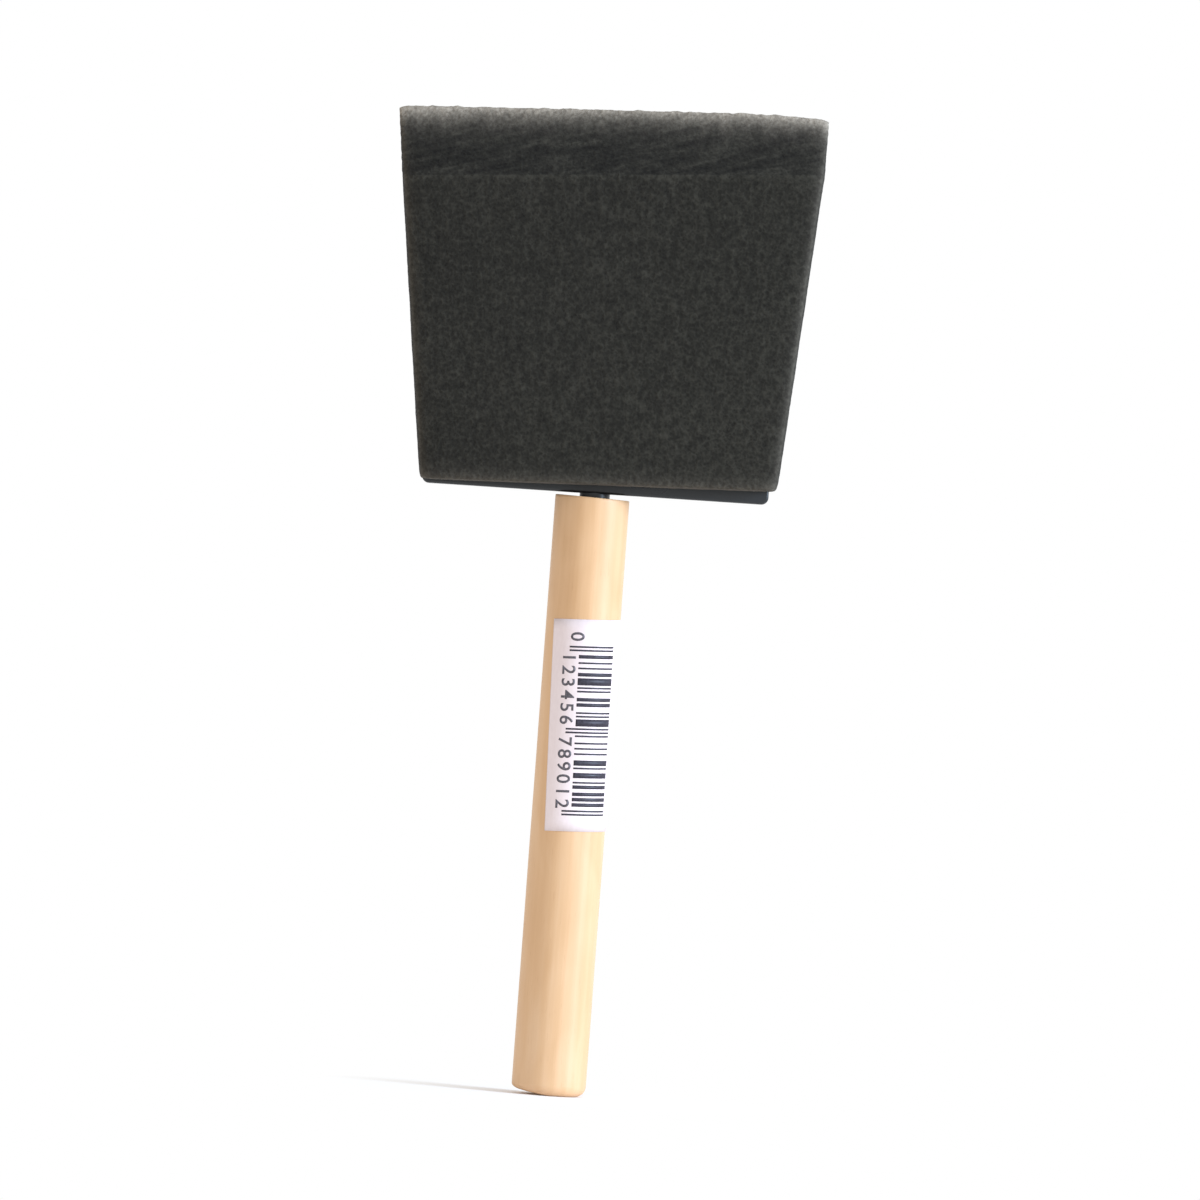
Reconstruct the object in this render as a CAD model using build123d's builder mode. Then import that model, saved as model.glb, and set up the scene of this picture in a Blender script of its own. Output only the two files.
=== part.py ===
# Foam paint brush: a chisel-tipped foam head on a plastic paddle, on a wooden dowel with a wrapped paper label.
# Frame: origin at the centre of the dowel's butt end, +Z along the dowel towards the foam tip, foam faces towards
# -Y (front) and +Y (back), +X to the right as seen from the front. Millimetres and degrees.
from build123d import *

import os
from math import cos, radians, sin

# ---- driving dimensions ----

# dowel handle
HANDLE_RADIUS = 7.0
HANDLE_LENGTH = 112.6
BUTT_ROUND = 2.0  # rounding of the free end
TOP_BREAK = 0.35  # small bevel where the dowel was sawn at the foam end
SAW_TILT = 1.5  # the sawn end is a little out of square

# bore for the peg
BORE_OFFSET = 0.4  # drilled slightly off the dowel's centre
BORE_RADIUS = 3.0
BORE_DEPTH = 24.0
DRILL_POINT = 1.8  # depth of the cone that the drill's tip leaves

# moulded insert: peg, neck, crossbar and paddle in one piece
INSERT_TILT = 0.5  # lean from the dowel's axis, seen from the front
NECK_RADIUS = 2.85
NECK_GAP = 0.75  # crossbar's underside above the dowel's end
NECK_DEPTH = 1.0  # of the neck inside the bore
PEG_RADIUS = 2.5
PEG_LENGTH = 21.0
PEG_TIP_RADIUS = 1.6
PEG_TIP_LENGTH = 2.0
BARB_RADIUS = 2.97
BARB_COUNT = 5
BARB_START = 2.0  # depth of the first barb
BARB_PITCH = 3.4
BARB_SLOPE = 2.4  # length of each barb's tapered side
BAR_LENGTH = 65.2
BAR_HEIGHT = 3.0
BAR_DEPTH = 6.0  # front to back
BAR_CORNER = 1.3  # rounding of its lower corners, seen from the front
BAR_EDGE = 0.5
PADDLE_WIDTH = 58.0
PADDLE_HEIGHT = 46.0
PADDLE_THICKNESS = 1.4
PADDLE_CORNER = 6.0
PADDLE_LEAD = 7.0  # length of the thinned leading edge
PADDLE_THINNING = 0.35  # taken off each face at that edge
RIB_WIDTH = 5.0
RIB_HEIGHT = 32.0
RIB_ROOT = 2.7  # half depth of the rib where it leaves the crossbar

# foam block; its bevel and tip were cut slightly askew of its base, and off its middle
FOAM_TILT = 2.1  # glued on a little crooked, seen from the front
FOAM_OFFSET = 0.9  # centre of its base, sideways from the dowel's axis
FOAM_BASE_Z = 114.9
FOAM_HEIGHT = 70.6  # at the middle of the tip
FOAM_THICKNESS = 20.0
BASE_WIDTH = 67.2
BEVEL_WIDTH = 79.2  # across the line where the bevel starts
BEVEL_SHIFT = 0.7
BEVEL_HEIGHT = 12.6
BEVEL_SLOPE = 2.1  # rise of that line to the right
TIP_WIDTH = 80.8
TIP_SHIFT = 0.4
TIP_SLOPE = 0.6
TIP_THICKNESS = 1.8

# glue films, and the room that the foam leaves round the insert
GLUE_THICKNESS = 0.25
GLUE_MARGIN = 3.0  # bare edge of the paddle round the glue
INSERT_CLEARANCE = 0.2
MOUTH_GAP = 0.6  # at each end of the crossbar
POCKET_GAP = 1.5  # beside and above the paddle

# paper label
LABEL_LENGTH = 39.8  # along the dowel
LABEL_WIDTH = 20.0  # round the dowel
LABEL_THICKNESS = 0.1
LABEL_MIDDLE_Z = 69.9
LABEL_TURN = 37.6  # its middle, round the dowel from the front towards +X
LABEL_TILT = 2.3  # stuck on slightly askew

# ---- planes and heights worked out from them ----


def leaning_planes(x, z, tilt):
    """Planes facing up, front and side, with their origin at x and z, leaning to the left by tilt."""
    up = Plane(origin=(x, 0, z)).rotated((0, -tilt, 0))
    front = Plane(origin=up.origin, x_dir=up.x_dir, z_dir=-up.y_dir)
    side = Plane(origin=up.origin, x_dir=up.y_dir, z_dir=up.x_dir)
    return up, front, side


# heights on the insert's planes are from the dowel's sawn end, and on the foam's planes from the foam's base
insert_up, insert_front, insert_side = leaning_planes(BORE_OFFSET, HANDLE_LENGTH, INSERT_TILT)
foam_up, foam_front = leaning_planes(FOAM_OFFSET, FOAM_BASE_Z, FOAM_TILT)[:2]
peg_axis = Axis(insert_up.origin, insert_up.z_dir)
saw_plane = Plane.XY.offset(HANDLE_LENGTH).rotated((0, SAW_TILT, 0))


def foam_section_plane(shift, height, slope):
    """Plane across the foam, at a height over its base, rising to the right by slope."""
    middle = foam_up.from_local_coords(Vector(shift, 0, height))
    return Plane(origin=middle, x_dir=foam_up.x_dir, z_dir=foam_up.z_dir).rotated((0, -slope, 0))


bar_middle = NECK_GAP + BAR_HEIGHT / 2
bar_top = NECK_GAP + BAR_HEIGHT
rib_top = bar_top + RIB_HEIGHT
paddle_top = bar_top + PADDLE_HEIGHT
bevel_plane = foam_section_plane(BEVEL_SHIFT, FOAM_HEIGHT - BEVEL_HEIGHT, BEVEL_SLOPE)
tip_plane = foam_section_plane(TIP_SHIFT, FOAM_HEIGHT, TIP_SLOPE)
bevel_right = foam_front.to_local_coords(bevel_plane.from_local_coords(Vector(BEVEL_WIDTH / 2, 0, 0)))
bevel_left = foam_front.to_local_coords(bevel_plane.from_local_coords(Vector(-BEVEL_WIDTH / 2, 0, 0)))

os.makedirs("parts", exist_ok=True)

# ---- handle: a dowel, sawn at the top and rounded at the butt, with a blind bore for the peg ----

with BuildPart() as handle:
    with BuildSketch():
        Circle(HANDLE_RADIUS)
    extrude(amount=HANDLE_LENGTH + HANDLE_RADIUS)
    split(bisect_by=saw_plane, keep=Keep.BOTTOM)
    chamfer(handle.faces().sort_by(Axis.Z)[-1].edges(), TOP_BREAK)
    fillet(handle.faces().sort_by(Axis.Z)[0].edges(), BUTT_ROUND)
    with BuildSketch(insert_front):
        with BuildLine():
            Polyline(
                (0, HANDLE_RADIUS),
                (BORE_RADIUS, HANDLE_RADIUS),
                (BORE_RADIUS, -BORE_DEPTH),
                (0, -BORE_DEPTH - DRILL_POINT),
                close=True,
            )
        make_face()
    revolve(axis=peg_axis, mode=Mode.SUBTRACT)
handle.part.label = "handle"
export_step(handle.part, "parts/handle.step")

# ---- blade_insert: crossbar, paddle with a tapered rib up each face, and barbed peg, moulded in one ----


def rib_profile(clearance=0.0):
    """Side view of the ribs on both faces of the paddle."""
    half_root = RIB_ROOT + clearance
    return [(-half_root, bar_top), (half_root, bar_top), (0, rib_top + clearance)]


def peg_profile():
    """Half section of the neck and the barbed peg, from inside the crossbar down to the tip."""
    points = [(0, bar_middle), (NECK_RADIUS, bar_middle), (NECK_RADIUS, -NECK_DEPTH), (PEG_RADIUS, -NECK_DEPTH)]
    for barb in range(BARB_COUNT):
        crest = -BARB_START - barb * BARB_PITCH
        points += [(PEG_RADIUS, crest), (BARB_RADIUS, crest), (PEG_RADIUS, crest - BARB_SLOPE)]
    points += [(PEG_RADIUS, PEG_TIP_LENGTH - PEG_LENGTH), (PEG_TIP_RADIUS, -PEG_LENGTH), (0, -PEG_LENGTH)]
    return points


with BuildPart() as blade_insert:
    with BuildSketch(insert_front) as bar_face:
        with Locations((0, bar_middle)):
            Rectangle(BAR_LENGTH, BAR_HEIGHT)
        fillet(bar_face.vertices().group_by(Axis.Y)[0], BAR_CORNER)
    extrude(amount=BAR_DEPTH / 2, both=True)
    fillet(blade_insert.faces().sort_by(Axis.Y)[0].edges(), BAR_EDGE)
    fillet(blade_insert.faces().sort_by(Axis.Y)[-1].edges(), BAR_EDGE)

    with BuildSketch(insert_front) as paddle_face:
        with Locations((0, bar_middle)):
            Rectangle(PADDLE_WIDTH, paddle_top - bar_middle, align=(Align.CENTER, Align.MIN))
        fillet(paddle_face.vertices().group_by(Axis.Y)[-1], PADDLE_CORNER)
    extrude(amount=PADDLE_THICKNESS / 2, both=True)
    for face_y in (-PADDLE_THICKNESS / 2, PADDLE_THICKNESS / 2):
        thinned_y = face_y * (1 - 2 * PADDLE_THINNING / PADDLE_THICKNESS)
        with BuildSketch(insert_side):
            with BuildLine():
                Polyline(
                    (face_y, paddle_top - PADDLE_LEAD),
                    (2 * face_y, paddle_top),
                    (2 * face_y, paddle_top + PADDLE_LEAD),
                    (thinned_y, paddle_top + PADDLE_LEAD),
                    (thinned_y, paddle_top),
                    close=True,
                )
            make_face()
        extrude(amount=PADDLE_WIDTH, both=True, mode=Mode.SUBTRACT)

    with BuildSketch(insert_side):
        with BuildLine():
            Polyline(*rib_profile(), close=True)
        make_face()
    extrude(amount=RIB_WIDTH / 2, both=True)

    with BuildSketch(insert_front):
        with BuildLine():
            Polyline(*peg_profile(), close=True)
        make_face()
    revolve(axis=peg_axis)
blade_insert.part.label = "blade_insert"
export_step(blade_insert.part, "parts/blade_insert.step")

# ---- glue_front and glue_back: flat films between the paddle and the foam, open round the rib ----

for name, side in (("glue_front", 1), ("glue_back", -1)):
    with BuildPart() as glue_film:
        with BuildSketch(insert_front.offset(side * PADDLE_THICKNESS / 2)):
            with Locations((0, bar_top + GLUE_MARGIN)):
                Rectangle(
                    PADDLE_WIDTH - 2 * GLUE_MARGIN,
                    PADDLE_HEIGHT - PADDLE_LEAD - GLUE_MARGIN,
                    align=(Align.CENTER, Align.MIN),
                )
                Rectangle(
                    RIB_WIDTH + 2 * INSERT_CLEARANCE,
                    RIB_HEIGHT - GLUE_MARGIN + INSERT_CLEARANCE,
                    align=(Align.CENTER, Align.MIN),
                    mode=Mode.SUBTRACT,
                )
        extrude(amount=side * GLUE_THICKNESS)
    glue_film.part.label = name
    export_step(glue_film.part, f"parts/{name}.step")

# ---- foam_head: trapezoid block with a chisel tip, and a pocket that fits over the insert ----

with BuildPart() as foam_head:
    with BuildSketch(foam_front):
        with BuildLine():
            Polyline((-BASE_WIDTH / 2, 0), (BASE_WIDTH / 2, 0), bevel_right, bevel_left, close=True)
        make_face()
    extrude(amount=FOAM_THICKNESS / 2, both=True)
    with BuildSketch(bevel_plane):
        Rectangle(BEVEL_WIDTH, FOAM_THICKNESS)
    with BuildSketch(tip_plane):
        Rectangle(TIP_WIDTH, TIP_THICKNESS)
    loft(ruled=True)

    with BuildSketch(insert_front):
        with Locations((0, -NECK_DEPTH)):
            Rectangle(
                PADDLE_WIDTH + 2 * POCKET_GAP,
                paddle_top + POCKET_GAP + NECK_DEPTH,
                align=(Align.CENTER, Align.MIN),
            )
    extrude(amount=PADDLE_THICKNESS / 2 + GLUE_THICKNESS, both=True, mode=Mode.SUBTRACT)
    with BuildSketch(insert_side):
        with BuildLine():
            Polyline(*rib_profile(INSERT_CLEARANCE), close=True)
        make_face()
    extrude(amount=RIB_WIDTH / 2 + INSERT_CLEARANCE, both=True, mode=Mode.SUBTRACT)
    with BuildSketch(insert_front):
        with Locations((0, -NECK_DEPTH)):
            Rectangle(
                BAR_LENGTH + 2 * MOUTH_GAP,
                bar_top + INSERT_CLEARANCE + NECK_DEPTH,
                align=(Align.CENTER, Align.MIN),
            )
    extrude(amount=BAR_DEPTH / 2 + INSERT_CLEARANCE, both=True, mode=Mode.SUBTRACT)
foam_head.part.label = "foam_head"
export_step(foam_head.part, "parts/foam_head.step")

# ---- barcode_label: a thin ring, cut to the sticker's four edges ----


def around(angle):
    """Direction out of the dowel's axis, at an angle from the front towards +X."""
    return Vector(sin(radians(angle)), -cos(radians(angle)), 0)


half_turn = LABEL_WIDTH / HANDLE_RADIUS / 2 / radians(1)
label_middle = Plane(origin=(0, 0, LABEL_MIDDLE_Z), x_dir=around(LABEL_TURN), z_dir=(0, 0, 1))
label_middle = label_middle.rotated((LABEL_TILT, 0, 0))

with BuildPart() as barcode_label:
    with BuildSketch(Plane.XY.offset(LABEL_MIDDLE_Z)):
        Circle(HANDLE_RADIUS + LABEL_THICKNESS)
        Circle(HANDLE_RADIUS, mode=Mode.SUBTRACT)
    extrude(amount=LABEL_LENGTH, both=True)
    split(bisect_by=label_middle.offset(LABEL_LENGTH / 2), keep=Keep.BOTTOM)
    split(bisect_by=label_middle.offset(-LABEL_LENGTH / 2), keep=Keep.TOP)
    for edge, kept in ((LABEL_TURN - half_turn, Keep.TOP), (LABEL_TURN + half_turn, Keep.BOTTOM)):
        edge_plane = Plane(origin=(0, 0, LABEL_MIDDLE_Z), x_dir=around(edge), z_dir=around(edge + 90))
        split(bisect_by=edge_plane.rotated((LABEL_TILT, 0, 0)), keep=kept)
barcode_label.part.label = "barcode_label"
export_step(barcode_label.part, "parts/barcode_label.step")
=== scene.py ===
# Foam paint brush: the looks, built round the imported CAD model.
# Metres, origin at the centre of the handle's butt end, +Z towards the foam tip, front face towards -Y.
from math import cos, exp, pi, radians, sin, tan

import bmesh
import bpy
import numpy as np
from mathutils import Matrix, Vector, noise


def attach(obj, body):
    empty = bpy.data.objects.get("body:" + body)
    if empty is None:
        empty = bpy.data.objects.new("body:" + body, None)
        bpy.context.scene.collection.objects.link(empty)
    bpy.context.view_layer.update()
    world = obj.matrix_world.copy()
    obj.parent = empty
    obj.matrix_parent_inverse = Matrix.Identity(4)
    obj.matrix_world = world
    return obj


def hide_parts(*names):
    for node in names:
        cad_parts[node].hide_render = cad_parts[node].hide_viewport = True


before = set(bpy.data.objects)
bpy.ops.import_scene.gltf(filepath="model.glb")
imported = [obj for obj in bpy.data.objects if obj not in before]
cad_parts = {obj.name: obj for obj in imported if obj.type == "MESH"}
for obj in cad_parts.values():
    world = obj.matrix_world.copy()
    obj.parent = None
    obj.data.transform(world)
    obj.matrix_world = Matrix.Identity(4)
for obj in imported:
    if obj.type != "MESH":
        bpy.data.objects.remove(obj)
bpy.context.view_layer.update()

MM = 0.001

# ---- dimensions shared with the CAD model, in millimetres and degrees ----

HANDLE_RADIUS = 7.0
HANDLE_LENGTH = 112.6
BUTT_ROUND = 2.0
SAW_TILT = 1.5
BORE_OFFSET = 0.4
BORE_RADIUS = 3.0
BORE_DEPTH = 24.0

INSERT_TILT = 0.5
BAR_LENGTH = 65.2
BAR_DEPTH = 6.0
BAR_TOP = 3.75  # above the dowel's end

FOAM_TILT = 2.1
FOAM_OFFSET = 0.9
FOAM_BASE_Z = 114.9
FOAM_HEIGHT = 70.6
FOAM_THICKNESS = 20.0
BASE_WIDTH = 67.2
BEVEL_WIDTH = 79.2
BEVEL_SHIFT = 0.7
BEVEL_HEIGHT = 12.6
BEVEL_SLOPE = 2.1
TIP_WIDTH = 80.8
TIP_SHIFT = 0.4
TIP_SLOPE = 0.6
TIP_THICKNESS = 1.8
MOUTH_GAP = 0.6
INSERT_CLEARANCE = 0.2

LABEL_LENGTH = 39.8
LABEL_WIDTH = 20.0
LABEL_THICKNESS = 0.1
LABEL_MIDDLE_Z = 69.9
LABEL_TURN = 37.6
LABEL_TILT = 2.3

# ---- camera: level, square to the front face, rolled so that the handle leans ----

CAMERA_DISTANCE = 2.4
VIEW_SIZE = 0.2256  # what the square picture covers at the brush
VIEW_CENTRE = Vector((0.00284, 0.0, 0.0935))
HANDLE_LEAN = radians(4.26)


def make_camera():
    """The camera, square to the brush's front face."""
    data = bpy.data.cameras.new("camera")
    data.sensor_width = 36.0
    data.lens = data.sensor_width * CAMERA_DISTANCE / VIEW_SIZE
    camera = bpy.data.objects.new("camera", data)
    right = Vector((cos(HANDLE_LEAN), 0, sin(HANDLE_LEAN)))
    back = Vector((0, -1, 0))
    turn = Matrix((right, back.cross(right), back)).transposed()
    camera.matrix_world = Matrix.Translation(VIEW_CENTRE + back * CAMERA_DISTANCE) @ turn.to_4x4()
    bpy.context.scene.collection.objects.link(camera)
    bpy.context.scene.camera = camera


make_camera()

# ---- helpers ----


def add_object(name, mesh):
    """A new object in the scene for a mesh."""
    made = bpy.data.objects.new(name, mesh)
    bpy.context.scene.collection.objects.link(made)
    return made


def add_piece(name, mesh, material, slot, *replaced):
    """A piece of the brush: its mesh and material, and the CAD nodes that it stands for; its slot is not
    used.
    """
    made = add_object(name, mesh)
    mesh.materials.append(material)
    mesh.shade_smooth()
    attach(made, "root")
    if replaced:
        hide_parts(*replaced)
    return made


def leaning(x, z, tilt):
    """Matrix from a leaning local frame, in millimetres, to the row frame, in metres."""
    turn = Matrix.Rotation(radians(-tilt), 4, "Y")
    return Matrix.Scale(MM, 4) @ Matrix.Translation((x, 0, z)) @ turn


def moved(matrix, points):
    """Points, as rows of an array, moved by a matrix."""
    full = np.array(matrix)
    return points @ full[:3, :3].T + full[:3, 3]


foam_place = leaning(FOAM_OFFSET, FOAM_BASE_Z, FOAM_TILT)
insert_place = leaning(BORE_OFFSET, HANDLE_LENGTH, INSERT_TILT)


def set_range(node, low, high, to_low, to_high):
    """Sets the two ranges of a Map Range node."""
    for key, amount in (("From Min", low), ("From Max", high), ("To Min", to_low), ("To Max", to_high)):
        node.inputs[key].default_value = amount


class Nodes:
    """Short calls for building one material's node tree."""

    def __init__(self, name):
        self.material = bpy.data.materials.new(name)
        self.material.use_nodes = True
        self.tree = self.material.node_tree
        self.shader = self.tree.nodes["Principled BSDF"]
        self.place = self.add("ShaderNodeTexCoord").outputs["Object"]

    def add(self, kind, settings=None, **values):
        """A node with its settings and its unlinked or linked inputs."""
        made = self.tree.nodes.new(kind)
        for key, value in (settings or {}).items():
            setattr(made, key, value)
        for key, value in values.items():
            self.put(made.inputs[key.replace("_", " ")], value)
        return made

    def put(self, socket, value):
        """Links an output to a socket, or sets the socket's own value."""
        if isinstance(value, bpy.types.NodeSocket):
            self.tree.links.new(value, socket)
        else:
            socket.default_value = value

    def stretch(self, scale, turn=(0, 0, 0), shift=(0, 0, 0)):
        """The object's coordinates, turned, then scaled along each axis and moved."""
        turned = self.add("ShaderNodeMapping", Vector=self.place, Rotation=turn).outputs["Vector"]
        made = self.add("ShaderNodeMapping", Vector=turned, Scale=scale, Location=shift)
        return made.outputs["Vector"]

    def painted(self, name):
        """The value of one of the mesh's point attributes."""
        return self.add("ShaderNodeAttribute", {"attribute_name": name}).outputs["Fac"]

    def weighted(self, *pairs):
        """The sum of values, each times its weight."""
        total = 0.0
        for value, weight in pairs:
            made = self.add("ShaderNodeMath", {"operation": "MULTIPLY_ADD"})
            for socket, amount in zip(made.inputs, (value, weight, total)):
                self.put(socket, amount)
            total = made.outputs[0]
        return total

    def noise(self, scale, detail=2.0, vector=None, roughness=0.5, distortion=0.0):
        """Noise from 0 to 1, with scale in features per metre."""
        place = vector or self.place
        made = self.add("ShaderNodeTexNoise", Vector=place, Scale=scale, Detail=detail)
        self.put(made.inputs["Roughness"], roughness)
        self.put(made.inputs["Distortion"], distortion)
        return made.outputs["Fac"]

    def cells(self, scale, vector):
        """Distance from a Voronoi cell's centre."""
        return self.add("ShaderNodeTexVoronoi", Vector=vector, Scale=scale).outputs["Distance"]

    def math(self, operation, a, b=0.0):
        """One sum on two values."""
        made = self.add("ShaderNodeMath", {"operation": operation})
        self.put(made.inputs[0], a)
        self.put(made.inputs[1], b)
        return made.outputs[0]

    def span(self, value, low, high, to_low=0.0, to_high=1.0):
        """A value mapped from one range to another, clamped."""
        made = self.add("ShaderNodeMapRange", Value=value)
        set_range(made, low, high, to_low, to_high)
        return made.outputs["Result"]

    def ramp(self, value, *stops):
        """A colour from a value, by (position, colour) stops."""
        made = self.add("ShaderNodeValToRGB", Fac=value)
        ends = made.color_ramp.elements
        while len(ends) < len(stops):
            ends.new(1.0)
        for end, (position, colour) in zip(ends, stops):
            end.position = position
            end.color = (*colour, 1.0)
        return made.outputs["Color"]

    def mix(self, factor, a, b, blend="MIX"):
        """Two colours mixed."""
        made = self.add("ShaderNodeMix", {"data_type": "RGBA", "blend_type": blend})
        for key, value in (("Factor", factor), ("A", a), ("B", b)):
            single = isinstance(value, (bpy.types.NodeSocket, float))
            self.put(made.inputs[key], value if single else (*value, 1.0))
        return made.outputs["Result"]

    def bump(self, height, distance, strength=1.0, under=None):
        """A bump of that height in metres, over another bump."""
        made = self.add("ShaderNodeBump", Height=height, Distance=distance, Strength=strength)
        if under:
            self.put(made.inputs["Normal"], under)
        return made.outputs["Normal"]

    def finish(self, **values):
        """Sets the shader's sockets, and gives the material."""
        for key, value in values.items():
            if isinstance(value, tuple) and len(value) == 3:
                value = (*value, 1.0)
            self.put(self.shader.inputs[key.replace("_", " ")], value)
        return self.material


# ---- materials ----

CUT_ANGLE = radians(15)  # slope of the streaks that the blade left on the foam's bevels
CUT_LINE = 0.45  # the cut attribute's value on the line where the bevel starts
FLOOR_FADE = (0.008, 0.045)  # where the floor fades into the white surround, in metres


def foam_material():
    """Black open-celled foam: dark pores between lighter struts, with painted light: lighter where light
    would come through, lighter towards the key light's side, painted shade darkening the bevel and a
    painted highlight where the bevel starts.
    """
    n = Nodes("foam_cells")
    warp = n.add("ShaderNodeTexNoise", Vector=n.place, Scale=900.0, Detail=2.0).outputs["Color"]
    nudged = n.mix(0.0005, n.place, warp, "LINEAR_LIGHT")
    coarse = n.cells(1500, nudged)
    fine = n.cells(3000, nudged)
    grain = n.noise(1250, 2.0, roughness=0.6)
    mottle = n.noise(620, 2.0)
    tone = n.noise(45, 2.0)
    # painted light: the colour grows lighter towards +X, the side the key light comes from
    across = n.add("ShaderNodeSeparateXYZ", Vector=n.place).outputs["X"]
    streak = n.noise(850, 2.0, vector=n.stretch((0.12, 0.12, 1.0), turn=(0, CUT_ANGLE, 0)))
    cut = n.painted("cut")
    cells_and_painted_side_light = n.weighted(
        (coarse, 0.30), (fine, 0.14), (grain, 0.58), (mottle, 0.58), (tone, 0.15), (across, 0.9)
    )
    # streaks of the blade's cut on the bevel, biased darker: real marks with painted shade on the
    # upward-facing bevel
    on_bevel = n.math("MULTIPLY", n.span(streak, 0.25, 0.75, -0.30, 0.18), n.span(cut, 0.6, 1.0))
    # painted highlight along the edge where the bevel starts
    from_line = n.math("ABSOLUTE", n.math("SUBTRACT", cut, CUT_LINE))
    painted_bevel_highlight = n.math("MULTIPLY", n.span(from_line, 0.0, 0.4, 0.12, 0.0), mottle)
    colour = n.ramp(
        n.span(n.weighted((cells_and_painted_side_light, 1.0), (on_bevel, 1.25), (painted_bevel_highlight, 2.6)), 0.50, 1.20),
        (0.0, (0.0085, 0.0077, 0.0066)),
        (0.5, (0.0178, 0.0165, 0.0133)),
        (1.0, (0.0360, 0.0334, 0.0265)),
    )
    # painted light: the lighter colour that the foam's colour is mixed towards where light would come
    # through
    painted_light_colour = n.ramp(grain, (0.3, (0.215, 0.185, 0.152)), (0.7, (0.390, 0.345, 0.285)))
    normal = n.bump(grain, 0.00010, 0.5)
    normal = n.bump(coarse, 0.00025, 0.4, under=normal)
    return n.finish(
        # painted light lightening the foam's colour at the tip, the long corners and the base edge
        Base_Color=n.mix(n.painted("painted_light"), colour, painted_light_colour),
        Roughness=n.span(cells_and_painted_side_light, 0.4, 1.1, 0.98, 0.86),
        Specular_IOR_Level=0.10,
        Sheen_Weight=0.04,
        Sheen_Roughness=0.5,
        Normal=normal,
    )


def wood_material():
    """Pale birch, lightly sanded: soft mottled figure, faint growth rings, fine fibres and short pores."""
    n = Nodes("birch_dowel")
    figure = n.noise(150, 2.0, vector=n.stretch((1, 1, 0.35), shift=(0.3, 0.0, 0.1)), distortion=0.6)
    broad = n.noise(55, 2.0, vector=n.stretch((1, 1, 0.25)))
    rings = n.add(
        "ShaderNodeTexWave",
        {"wave_type": "RINGS", "rings_direction": "Z", "wave_profile": "SIN"},
        Vector=n.stretch((1, 1, 0.03), shift=(0.021, 0.012, 0.0)),
        Scale=130.0,
        Distortion=5.0,
        Detail=2.0,
    )
    rings.inputs["Detail Scale"].default_value = 0.8
    fibre = n.noise(3200, 3.0, vector=n.stretch((1, 1, 0.02)), roughness=0.6)
    streak = n.noise(700, 3.0, vector=n.stretch((1, 1, 0.05)))
    specks = n.noise(3600, 1.0, vector=n.stretch((1, 1, 0.10), shift=(0.5, 0.2, 0.1)))
    pores = n.span(specks, 0.68, 0.76)
    ring = rings.outputs["Fac"]
    value = n.weighted((ring, 0.07), (fibre, 0.16), (streak, 0.14), (figure, 0.44), (broad, 0.34))
    colour = n.ramp(
        n.span(value, 0.36, 0.80),
        (0.0, (0.600, 0.348, 0.168)),
        (0.5, (0.675, 0.418, 0.224)),
        (1.0, (0.735, 0.486, 0.288)),
    )
    colour = n.mix(n.math("MULTIPLY", pores, 0.2), colour, (0.46, 0.245, 0.115))
    return n.finish(
        Base_Color=colour,
        Roughness=n.span(fibre, 0.3, 0.7, 0.44, 0.56),
        Specular_IOR_Level=0.5,
        Normal=n.bump(fibre, 0.00003, 0.4),
    )


def plastic_material():
    """Black moulded plastic: semi-gloss, with a fine moulded texture and a little dust."""
    n = Nodes("black_moulding")
    texture = n.noise(2200, 3.0)
    flow = n.noise(140, 2.0, vector=n.stretch((0.4, 1, 1)))
    colour = n.ramp(
        n.span(flow, 0.3, 0.7), (0.0, (0.009, 0.011, 0.013)), (1.0, (0.014, 0.017, 0.020))
    )
    return n.finish(
        Base_Color=colour,
        Roughness=n.span(flow, 0.3, 0.7, 0.20, 0.34),
        Specular_IOR_Level=0.5,
        Normal=n.bump(texture, 0.00002, 0.4),
    )


def glue_material():
    """Set glue: cloudy amber, uneven."""
    n = Nodes("set_glue")
    cloud = n.noise(300, 3.0)
    colour = n.ramp(cloud, (0.3, (0.62, 0.52, 0.33)), (0.7, (0.80, 0.72, 0.52)))
    return n.finish(
        Base_Color=colour,
        Roughness=n.span(cloud, 0.3, 0.7, 0.25, 0.4),
        Normal=n.bump(n.noise(900, 2.0), 0.00008, 0.6),
    )


def paper_material():
    """Coated white sticker paper, with a faint fibre."""
    n = Nodes("label_paper")
    fibre = n.noise(1800, 3.0, vector=n.stretch((1, 1, 0.4)))
    tone = n.noise(90, 2.0)
    shade = n.math("ADD", n.math("MULTIPLY", fibre, 0.5), n.math("MULTIPLY", tone, 0.5))
    colour = n.ramp(shade, (0.35, (0.740, 0.625, 0.620)), (0.65, (0.800, 0.685, 0.680)))
    return n.finish(
        Base_Color=colour,
        Roughness=n.span(fibre, 0.3, 0.7, 0.42, 0.55),
        Specular_IOR_Level=0.4,
        Normal=n.bump(fibre, 0.00001, 0.5),
    )


def ink_material(name, strong, weak):
    """Thermal print: dark, slightly purple, a little uneven, from a strong to a weak colour."""
    n = Nodes(name)
    patchy = n.noise(2500, 3.0)
    colour = n.ramp(patchy, (0.3, strong), (0.75, weak))
    rough = n.span(patchy, 0.3, 0.7, 0.40, 0.60)
    return n.finish(Base_Color=colour, Roughness=rough, Specular_IOR_Level=0.4)


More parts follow.
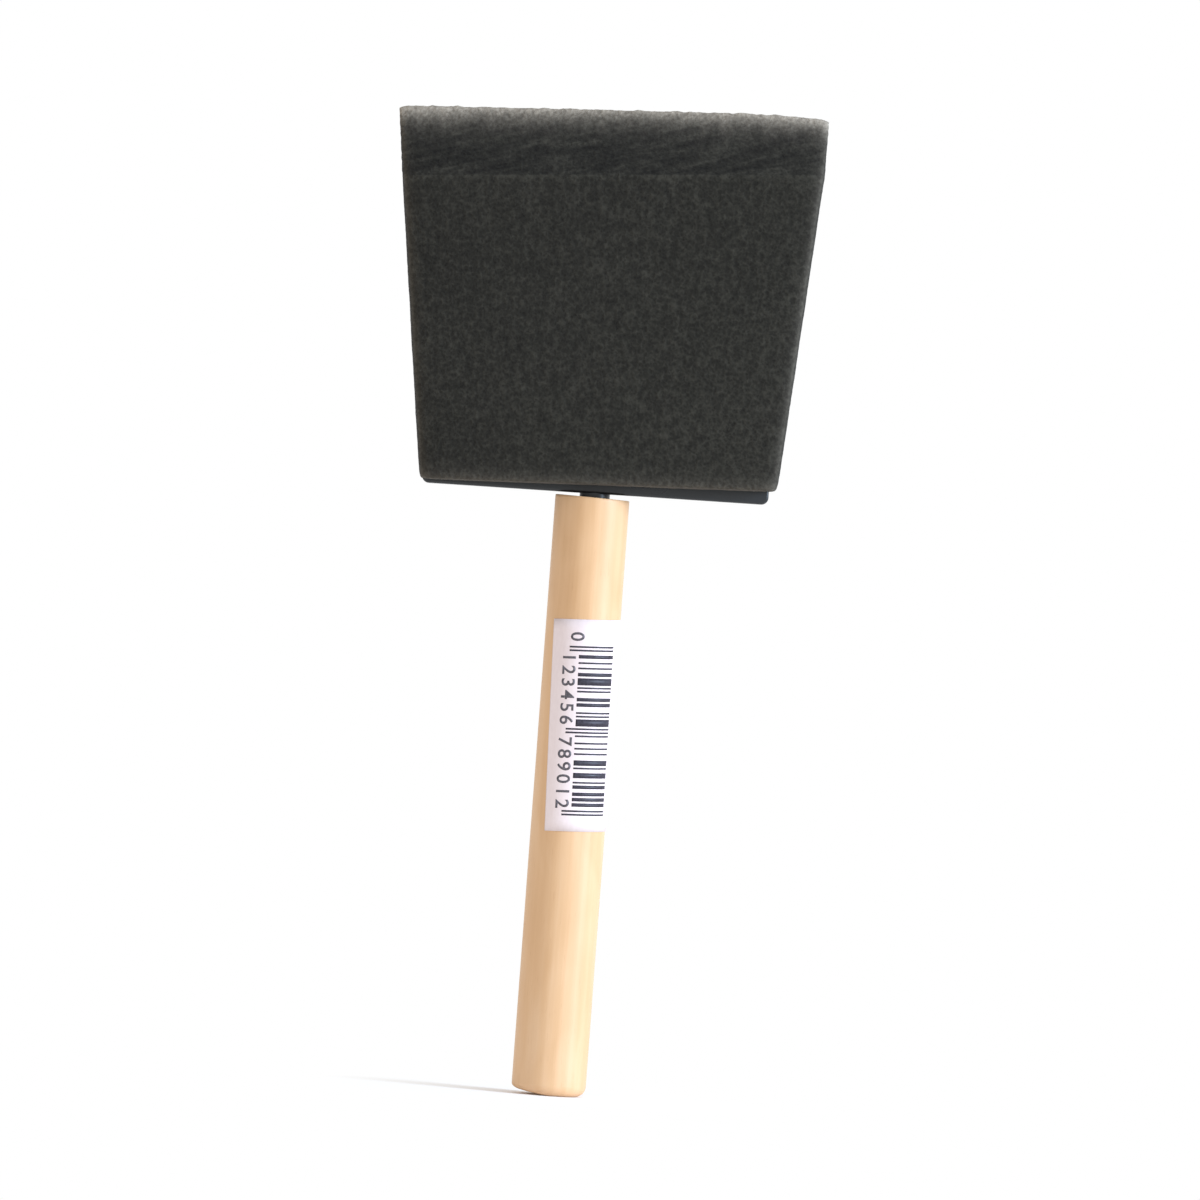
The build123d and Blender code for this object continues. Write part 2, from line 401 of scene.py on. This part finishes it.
def floor_material():
    """Matt white floor with a barely visible mottle, glowing like the surround beyond the brush."""
    n = Nodes("studio_floor")
    colour = n.ramp(n.noise(6, 2.0), (0.3, (0.96, 0.935, 0.92)), (0.7, (0.975, 0.95, 0.935)))
    made = n.finish(Base_Color=colour, Roughness=0.9, Specular_IOR_Level=0.1)
    distance = n.add("ShaderNodeVectorMath", {"operation": "LENGTH"})
    n.put(distance.inputs[0], n.place)
    glow = n.add("ShaderNodeEmission")
    blend = n.add("ShaderNodeMixShader", Fac=n.span(distance.outputs["Value"], *FLOOR_FADE))
    n.put(blend.inputs[1], n.shader.outputs[0])
    n.put(blend.inputs[2], glow.outputs[0])
    n.put(n.tree.nodes["Material Output"].inputs["Surface"], blend.outputs[0])
    return made


# ---- foam head: a warped lattice of cells, carved for the crossbar and roughened by its pores ----

FOAM_PITCH = 0.44
BEVEL_START = FOAM_HEIGHT - BEVEL_HEIGHT
# base, bevel line and tip: half width, shift to the right, height, slope and half thickness
FOAM_LEVELS = np.array((
    (BASE_WIDTH / 2, 0.0, 0.0, 0.0, FOAM_THICKNESS / 2),
    (BEVEL_WIDTH / 2, BEVEL_SHIFT, BEVEL_START, tan(radians(BEVEL_SLOPE)), FOAM_THICKNESS / 2),
    (TIP_WIDTH / 2, TIP_SHIFT, FOAM_HEIGHT, tan(radians(TIP_SLOPE)), TIP_THICKNESS / 2),
))
# how far the tip has worn down along its width, in millimetres
TIP_WEAR_PLACES = (-1.0, -0.96, -0.45, -0.05, 0.62, 0.82, 0.97, 1.0)
TIP_WEAR = (0.55, 0.05, 0.0, -0.1, -0.1, 0.2, 0.6, 1.2)
FACE_CROWN = 0.6  # fullness of the broad faces
EDGE_ROUNDING = ((0.45, 0.6), (0.40, 2.4))  # depth and reach of its sharp and its soft part
CORNER_GLOW = 0.13  # how much painted light brightens the colour at the long corners
PORE_SIZE = 0.9
PORE_DEPTH = 0.10
ROUGH_SIZE = 0.7
ROUGH_DEPTH = 0.04
WAVE_SIZE = 5.0
WAVE_DEPTH = 0.06
STREAK_SIZE = (8.0, 0.8)  # along and across the streaks of the cut
STREAK_DEPTH = 0.09
BEVEL_LINE_HEIGHT = 0.05  # of the faint ridge where the bevel starts
BEVEL_LINE_NARROW = 28  # higher makes the ridge narrower
TIP_RAGGED = 0.20  # height of the tip's ragged edge
TIP_GLOW_DEPTH = 1.40  # how far below the tip the painted light reaches
# painted light brightening the foam's colour along its base edge: how much, and how far up it reaches
BASE_GLOW = 0.18
BASE_GLOW_DEPTH = 1.1
CUT_REACH = 0.8  # rise over which the cut attribute goes from 0 to 1


def shell_of(solid):
    """The walls between solid and empty cells of a lattice: its points, and quads facing outwards."""
    walls = []
    for axis in range(3):
        first, second = (np.eye(3, dtype=int)[(axis + turn) % 3] for turn in (1, 2))
        step = np.diff(np.pad(solid, 1).astype(np.int8), axis=axis)
        for change in (1, -1):
            start = np.argwhere(step == change) - first - second
            ring = (start, start + first, start + first + second, start + second)
            walls.append(np.stack(ring[::-change], axis=1))
    points, quads = np.unique(np.concatenate(walls).reshape(-1, 3), axis=0, return_inverse=True)
    return points, quads.reshape(-1, 4)


def edge_drop(distance):
    """How far a foam face has rounded away, at a distance from its edge, in millimetres."""
    return sum(depth * np.exp(-distance / reach) for depth, reach in EDGE_ROUNDING)


def foam_shape(across, through, level):
    """Foam's own coordinates for places in it: -1 to 1 across and through, and 0 to 2 from base to tip."""
    values = [np.interp(level, (0, 1, 2), column) for column in FOAM_LEVELS.T]
    half_width, shift, height, slope, half_depth = values
    slim = half_depth / (FOAM_THICKNESS / 2)
    side_drop = edge_drop(half_depth * (1 - np.abs(through))) * slim
    face_drop = edge_drop(half_width * (1 - np.abs(across))) * slim + 0.9 * edge_drop(height)
    face_drop += FACE_CROWN * across**2 * slim
    flat = across * half_width
    x = shift + across * (half_width - 0.6 * side_drop - 0.35 * np.exp(-height / 0.7))
    y = through * (half_depth - face_drop)
    rim = np.minimum(half_width * (1 - np.abs(across)), half_depth * (1 - np.abs(through)))
    z = height + slope * flat + 0.35 * edge_drop(rim) * np.exp(-height / 0.6)
    z -= np.interp(across, TIP_WEAR_PLACES, TIP_WEAR) * np.clip(level - 1, 0, 1)
    return np.stack((x, y, z), axis=1)


def corner_glow(across, through):
    """How much painted light brightens the colour along the foam's long corners."""
    from_side = BASE_WIDTH / 2 * (1 - np.abs(across))
    from_face = FOAM_THICKNESS / 2 * (1 - np.abs(through))
    return CORNER_GLOW * np.exp(-from_side / 0.6 - from_face / 0.8)


def foam_detail(point, normal, glow, level):
    """A foam point with its pores, streaks and ragged tip, and how much painted light lightens its colour
    there.
    """
    on_bevel = min(max((level - 1) / 0.06, 0.0), 1.0)
    pore = noise.voronoi(point / PORE_SIZE)[0][0]
    rough = noise.noise(point / ROUGH_SIZE)
    wave = noise.noise(point / WAVE_SIZE)
    height = PORE_DEPTH * (pore - 0.5) + ROUGH_DEPTH * rough + WAVE_DEPTH * wave
    along = point.x * cos(CUT_ANGLE) + point.z * sin(CUT_ANGLE)
    over = point.z * cos(CUT_ANGLE) - point.x * sin(CUT_ANGLE)
    long, short = STREAK_SIZE
    height += on_bevel * STREAK_DEPTH * noise.noise(Vector((along / long, point.y / long, over / short)))
    on_face = abs(normal.y) > 0.5
    height += BEVEL_LINE_HEIGHT * exp(-(((level - 1) * BEVEL_LINE_NARROW) ** 2)) * on_face
    made = point + normal * height
    # painted light: lighter colour just below the tip, at the long corners and along the base edge
    below_tip = (2 - level) * BEVEL_HEIGHT
    ragged = exp(-below_tip / 0.5)
    made.z -= ragged * (0.05 + TIP_RAGGED * noise.noise(Vector((point.x / 1.1, point.y / 1.5, 3.0))))
    column = noise.noise(Vector((point.x / 1.6, point.y / 4.0, point.z / 5.0)))
    light = exp(-max(below_tip, 0.0) / (TIP_GLOW_DEPTH * (1 + 0.25 * column)))
    light *= 1 + 0.6 * (2 * point.x / TIP_WIDTH) ** 2
    light += BASE_GLOW * exp(-point.z / BASE_GLOW_DEPTH) + glow
    return made, min(max(light * (1 + 0.4 * rough), 0.0), 1.0)


def foam_mesh():
    """The foam block's mesh, with point attributes for the painted light, where light coming through is
    painted into the colour, and for the cut.
    """
    slant = ((FOAM_THICKNESS - TIP_THICKNESS) ** 2 / 4 + BEVEL_HEIGHT**2) ** 0.5
    rows = (round(BEVEL_START / FOAM_PITCH), round(slant / FOAM_PITCH))
    levels = np.concatenate((np.linspace(0, 1, rows[0], endpoint=False), np.linspace(1, 2, rows[1] + 1)))
    counts = (round(TIP_WIDTH / FOAM_PITCH), round(FOAM_THICKNESS / FOAM_PITCH), sum(rows))

    def places(index):
        """Places in the foam for lattice points, which may lie between the whole ones."""
        level = np.interp(index[:, 2], np.arange(len(levels)), levels)
        return 2 * index[:, 0] / counts[0] - 1, 2 * index[:, 1] / counts[1] - 1, level

    middles = np.indices(counts).reshape(3, -1).T + 0.5
    to_insert = np.linalg.inv(np.array(insert_place)) @ np.array(foam_place)
    room = (BAR_LENGTH / 2 + MOUTH_GAP, BAR_DEPTH / 2 + INSERT_CLEARANCE, BAR_TOP + INSERT_CLEARANCE)
    inside = np.abs(moved(to_insert, foam_shape(*places(middles)))) < room
    points, quads = shell_of(~np.all(inside, axis=1).reshape(counts))
    across, through, level = places(points.astype(float))
    base = foam_shape(across, through, level)

    mesh = bpy.data.meshes.new("foam_head_cells")
    mesh.from_pydata(base, [], quads.tolist())
    mesh.update()
    normals = np.empty(len(base) * 3, dtype=np.float32)
    mesh.vertex_normals.foreach_get("vector", normals)
    painted_light = np.empty(len(base), dtype=np.float32)
    glow = corner_glow(across, through)
    for index, normal in enumerate(normals.reshape(-1, 3)):
        point = Vector(base[index])
        base[index], painted_light[index] = foam_detail(point, Vector(normal), glow[index], level[index])
    mesh.vertices.foreach_set("co", moved(foam_place, base).ravel())
    cut = np.clip((level - 1) * BEVEL_HEIGHT / CUT_REACH + CUT_LINE, 0, 1).astype(np.float32)
    mesh.attributes.new("painted_light", "FLOAT", "POINT").data.foreach_set("value", painted_light)
    mesh.attributes.new("cut", "FLOAT", "POINT").data.foreach_set("value", cut)
    mesh.update()
    return mesh


foam = add_piece("foam_head_piece", foam_mesh(), foam_material(), "black_foam", "foam_head")

# ---- handle: a turned dowel with a sawn end, a bore and a rounded butt ----

HANDLE_SEGMENTS = 112
HANDLE_ROW = 1.2  # height of a row of faces
BUTT_WEAR = 1.05  # how far the butt slopes up to its left edge
BUTT_TIGHT = 0.35  # how much tighter the rounding is there
BUTT_STEPS = 8  # rows round the butt's edge
SHOULDER = 0.5  # plain length left between the sawn end and the first row
FIGURE_DEPTH = 0.02  # how uneven the turned surface is
SAW_DEPTH = 0.03  # how rough the sawn end is


def handle_profile():
    """Radius and height along the dowel: up the bore, over the sawn end and down to the butt's middle."""
    outline = [(0.0, HANDLE_LENGTH - BORE_DEPTH), (BORE_RADIUS, HANDLE_LENGTH - BORE_DEPTH)]
    outline += [(BORE_RADIUS, HANDLE_LENGTH - step) for step in (12.0, 2.0, 0.35)]
    outline += [(BORE_RADIUS + 0.15, HANDLE_LENGTH - 0.05)]
    outline += [(radius, HANDLE_LENGTH) for radius in (3.6, 4.4, 5.2, 5.9, 6.4)]
    outline += [(HANDLE_RADIUS - 0.12, HANDLE_LENGTH - 0.01), (HANDLE_RADIUS - 0.03, HANDLE_LENGTH - 0.08)]
    top = HANDLE_LENGTH - SHOULDER
    rows = round((top - BUTT_ROUND) / HANDLE_ROW)
    for row in range(rows + 1):
        outline.append((HANDLE_RADIUS, top - (top - BUTT_ROUND) * row / rows))
    for step in range(1, BUTT_STEPS + 1):
        angle = pi / 2 * step / BUTT_STEPS
        outline.append((HANDLE_RADIUS - BUTT_ROUND * (1 - cos(angle)), BUTT_ROUND * (1 - sin(angle))))
    outline += [(radius, 0.0) for radius in (4.2, 3.2, 2.0, 1.0, 0.0)]
    return outline


def handle_mesh():
    """The dowel's mesh, by turning its profile and then roughening it slightly."""
    made = bmesh.new()
    rings = []
    for radius, height in handle_profile():
        turns = HANDLE_SEGMENTS if radius else 1
        past_bore = max(radius - BORE_RADIUS, 0.0) / (HANDLE_RADIUS - BORE_RADIUS)
        centre = BORE_OFFSET * max(0.0, 1 - past_bore) * (height > HANDLE_LENGTH / 2)
        ring = []
        for turn in range(turns):
            angle = 2 * pi * turn / HANDLE_SEGMENTS
            tight = 1.0
            if height <= BUTT_ROUND and radius >= HANDLE_RADIUS - BUTT_ROUND:
                tight -= BUTT_TIGHT * max(0.0, -cos(angle))
            place = HANDLE_RADIUS - (HANDLE_RADIUS - radius) * tight
            x, y = place * cos(angle), place * sin(angle)
            out = noise.noise(Vector((x / 4, y / 4, height / 18))) * FIGURE_DEPTH
            top = max(0.0, 1 - (HANDLE_LENGTH - height) / 3)
            saw = SAW_DEPTH * noise.noise(Vector((x / 0.5, y / 3, 1))) * (top > 0.98)
            lean = -(x * tan(radians(SAW_TILT))) * top
            lean += BUTT_WEAR * max(0.0, -x / HANDLE_RADIUS) ** 1.2 * max(0.0, 1 - height / 4)
            scale = 1 + (out - FIGURE_DEPTH) / HANDLE_RADIUS
            rise = height * tight + lean + saw
            ring.append(made.verts.new(((x * scale + centre) * MM, y * scale * MM, rise * MM)))
        rings.append(ring)
    for upper, lower in zip(rings, rings[1:]):
        for turn in range(HANDLE_SEGMENTS):
            after = (turn + 1) % HANDLE_SEGMENTS
            if len(upper) == 1:
                corners = (upper[0], lower[turn], lower[after])
            elif len(lower) == 1:
                corners = (upper[turn], lower[0], upper[after])
            else:
                corners = (upper[turn], lower[turn], lower[after], upper[after])
            made.faces.new(corners)
    bmesh.ops.recalc_face_normals(made, faces=made.faces)
    mesh = bpy.data.meshes.new("handle_dowel")
    made.to_mesh(mesh)
    made.free()
    return mesh


add_piece("handle_dowel", handle_mesh(), wood_material(), "birch", "handle")

# ---- paper label and its printing, made flat and then wrapped round the dowel ----

BAR_MODULE = 0.335  # width of the barcode's thinnest bar
DIGIT_MODULES = 7  # each digit's share of the barcode
GUARD_MODULES = 3  # each end guard's share
SECOND_HALF = 50  # modules from the start to the second six digits
BARS_TOP = 14.9  # where the bars start, from the label's middle
BARS_FROM = -4.6  # the bars' lower ends, across the label from its middle
BARS_TO = 2.85
GUARD_EXTRA = 1.8  # how much further the guard bars reach
PRINT_SKEW = 0.016  # the print's slant on the label
DIGIT_HEIGHT = 2.6
DIGIT_BASE = -7.6
FIRST_DIGIT_SHIFT = 1.4  # how much nearer to the bars the first digit stands
DIGIT_CAP = 0.73  # height of a digit in the font, as a share of its size
DIGIT_CUTS = 18  # cuts that let the digits bend round the dowel
DIGIT_CUT_STEP = 0.25
BEND_STEP = 0.35  # width of the faces that bend round the dowel
ROW_STEP = 2.0  # their height
LABEL_LIFT = 0.001  # gap between the dowel and the label
INK_LOW = LABEL_THICKNESS - 0.002
INK_HIGH = LABEL_THICKNESS + 0.012
GENERIC_NUMBER = "0123456789012"
# the widths of each digit's four bars and spaces in a retail barcode, in modules
DIGIT_WIDTHS = ("3211", "2221", "2122", "1411", "1132", "1231", "1114", "1312", "1213", "3112")


def wrapped(across, along, out):
    """Where a point of the flat label goes: across and along it from its middle, and out from the dowel."""
    tilt = radians(LABEL_TILT)
    angle = radians(LABEL_TURN) + (across * cos(tilt) - along * sin(tilt)) / HANDLE_RADIUS
    radius = HANDLE_RADIUS + out
    height = LABEL_MIDDLE_Z + across * sin(tilt) + along * cos(tilt)
    return Vector((radius * sin(angle) * MM, -radius * cos(angle) * MM, height * MM))


def sort_parts(parts, place):
    """Sorts a bmesh's vertices, edges or faces, which extruding leaves in an order that varies by run."""
    rank = {part: index for index, part in enumerate(sorted(parts, key=place))}
    parts.sort(key=rank.get)
    parts.index_update()


def wrap_mesh(flat, low, high, name, skew=0.0):
    """Turns a flat bmesh into a closed layer between two heights over the dowel, and wraps it."""
    sheet = list(flat.faces)
    if skew:
        slant = Matrix(((1, skew, 0), (0, 1, 0), (0, 0, 1))).to_4x4()
        bmesh.ops.transform(flat, matrix=slant, verts=flat.verts)
    bmesh.ops.recalc_face_normals(flat, faces=sheet)
    raised = bmesh.ops.extrude_face_region(flat, geom=sheet, use_keep_orig=True)
    for vertex in [part for part in raised["geom"] if isinstance(part, bmesh.types.BMVert)]:
        vertex.co.z = high
    for vertex in flat.verts:
        vertex.co = wrapped(vertex.co.x, vertex.co.y, vertex.co.z if vertex.co.z else low)
    bmesh.ops.recalc_face_normals(flat, faces=flat.faces)
    sort_parts(flat.verts, lambda vertex: tuple(vertex.co))
    for parts in (flat.edges, flat.faces):
        sort_parts(parts, lambda part: sorted(vertex.index for vertex in part.verts))
    mesh = bpy.data.meshes.new(name)
    flat.to_mesh(mesh)
    flat.free()
    return mesh


def add_patch(flat, left, right, bottom, top):
    """A flat rectangle, divided across so that it can bend."""
    columns = max(2, round((right - left) / BEND_STEP))
    rows = max(1, round((top - bottom) / ROW_STEP))
    grid = []
    for row in range(rows + 1):
        y = bottom + (top - bottom) * row / rows
        places = [left + (right - left) * column / columns for column in range(columns + 1)]
        grid.append([flat.verts.new((x, y, 0)) for x in places])
    for lower, upper in zip(grid, grid[1:]):
        for column in range(columns):
            flat.faces.new((lower[column], lower[column + 1], upper[column + 1], upper[column]))


def label_mesh():
    """The sticker itself."""
    flat = bmesh.new()
    add_patch(flat, -LABEL_WIDTH / 2, LABEL_WIDTH / 2, -LABEL_LENGTH / 2, LABEL_LENGTH / 2)
    return wrap_mesh(flat, LABEL_LIFT, LABEL_THICKNESS, "barcode_label_paper")


def bars():
    """Start and width, in modules, and whether it is a guard, for each bar of the generic number."""
    pieces = [("111", 0, True)]
    for digit in GENERIC_NUMBER[1:7]:
        pieces.append((DIGIT_WIDTHS[int(digit)], 1, False))
    pieces.append(("11111", 1, True))
    for digit in GENERIC_NUMBER[7:]:
        pieces.append((DIGIT_WIDTHS[int(digit)], 0, False))
    pieces.append(("111", 0, True))
    start = 0
    for widths, first_bar, guard in pieces:
        for index, width in enumerate(map(int, widths)):
            if index % 2 == first_bar:
                yield start, width, guard
            start += width


def bars_mesh():
    """The printed bars."""
    flat = bmesh.new()
    for start, width, guard in bars():
        top = BARS_TOP - start * BAR_MODULE
        left = BARS_FROM - (GUARD_EXTRA if guard else 0)
        add_patch(flat, left, BARS_TO, top - width * BAR_MODULE, top)
    return wrap_mesh(flat, INK_LOW, INK_HIGH, "label_bars", PRINT_SKEW)


def digits_mesh():
    """The printed digits, reading down the label."""
    flat = bmesh.new()
    pitch = DIGIT_MODULES * BAR_MODULE
    places = [BARS_TOP + pitch * 0.75]
    for start in (GUARD_MODULES, SECOND_HALF):
        places += [BARS_TOP - start * BAR_MODULE - pitch * (index + 0.5) for index in range(6)]
    for index, (digit, place) in enumerate(zip(GENERIC_NUMBER, places)):
        base = DIGIT_BASE + (0 if index else FIRST_DIGIT_SHIFT)
        letter = bpy.data.curves.new("digit", "FONT")
        letter.body = digit
        letter.align_x = "CENTER"
        letter.size = DIGIT_HEIGHT / DIGIT_CAP
        letter.resolution_u = 4
        letter.offset = 0.05
        holder = add_object("digit", letter)
        outline = bpy.data.meshes.new_from_object(holder)
        outline.transform(Matrix(((0, 1, 0, base), (-1, 0, 0, place), (0, 0, 1, 0), (0, 0, 0, 1))))
        flat.from_mesh(outline)
        bpy.data.objects.remove(holder)
        bpy.data.curves.remove(letter)
        bpy.data.meshes.remove(outline)
    for step in range(1, DIGIT_CUTS + 1):
        cut = (DIGIT_BASE - 0.1 + step * DIGIT_CUT_STEP, 0, 0)
        everything = [*flat.verts, *flat.edges, *flat.faces]
        bmesh.ops.bisect_plane(flat, geom=everything, plane_co=cut, plane_no=(1, 0, 0))
    return wrap_mesh(flat, INK_LOW, INK_HIGH, "label_digits", PRINT_SKEW)


add_piece("barcode_label_paper", label_mesh(), paper_material(), "label_paper", "barcode_label")
bar_ink = ink_material("bar_ink", (0.016, 0.014, 0.022), (0.050, 0.042, 0.060))
add_piece("label_bars", bars_mesh(), bar_ink, "label_paper")
digit_ink = ink_material("digit_ink", (0.060, 0.054, 0.060), (0.140, 0.125, 0.140))
add_piece("label_digits", digits_mesh(), digit_ink, "label_paper")

# ---- carried-over CAD pieces ----


def finish_node(node, material):
    """Gives a CAD node its material."""
    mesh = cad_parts[node].data
    mesh.materials.clear()
    mesh.materials.append(material)


finish_node("blade_insert", plastic_material())
glue = glue_material()
finish_node("glue_front", glue)
finish_node("glue_back", glue)

# ---- floor, world and lights ----

FLOOR_RADIUS = 6.0
FLOOR_DROP = 0.00002  # keeps the floor clear of the butt
WORLD_FADE_FROM = 0.15  # height in the sky where the surround starts to dim
WORLD_OVERHEAD = 0.6
KEY_PLACE = (1.31, -0.67, 0.52)
KEY_TARGET = (0, 0, 0.1)
KEY_SIZE = 0.45
KEY_POWER = 35.0
KEY_COLOUR = (0.63, 0.79, 1.0)


def make_floor():
    """A wide round floor, level with the butt end."""
    made = bmesh.new()
    bmesh.ops.create_circle(made, cap_ends=True, segments=96, radius=FLOOR_RADIUS)
    mesh = bpy.data.meshes.new("floor")
    made.to_mesh(mesh)
    made.free()
    mesh.materials.append(floor_material())
    floor = add_object("floor", mesh)
    floor.location.z = -FLOOR_DROP


def make_light(name, place, target, size, power, colour):
    """A square soft light at a place, facing a target."""
    data = bpy.data.lights.new(name, "AREA")
    data.shape = "SQUARE"
    data.size = size
    data.energy = power
    data.color = colour
    light = bpy.data.objects.new(name, data)
    light.location = place
    light.rotation_euler = (Vector(target) - Vector(place)).to_track_quat("-Z", "Y").to_euler()
    bpy.context.scene.collection.objects.link(light)


def make_world():
    """A white surround, dimmer overhead."""
    world = bpy.data.worlds.new("studio")
    world.use_nodes = True
    tree = world.node_tree
    place = tree.nodes.new("ShaderNodeTexCoord")
    split = tree.nodes.new("ShaderNodeSeparateXYZ")
    fade = tree.nodes.new("ShaderNodeMapRange")
    tree.links.new(place.outputs["Generated"], split.inputs["Vector"])
    tree.links.new(split.outputs["Z"], fade.inputs["Value"])
    set_range(fade, WORLD_FADE_FROM, 1.0, 1.0, WORLD_OVERHEAD)
    background = tree.nodes["Background"]
    background.inputs["Color"].default_value = (1.0, 1.0, 1.0, 1.0)
    tree.links.new(fade.outputs["Result"], background.inputs["Strength"])
    bpy.context.scene.world = world


make_floor()
make_world()
make_light("key", KEY_PLACE, KEY_TARGET, KEY_SIZE, KEY_POWER, KEY_COLOUR)
bpy.context.scene.view_settings.view_transform = "Standard"
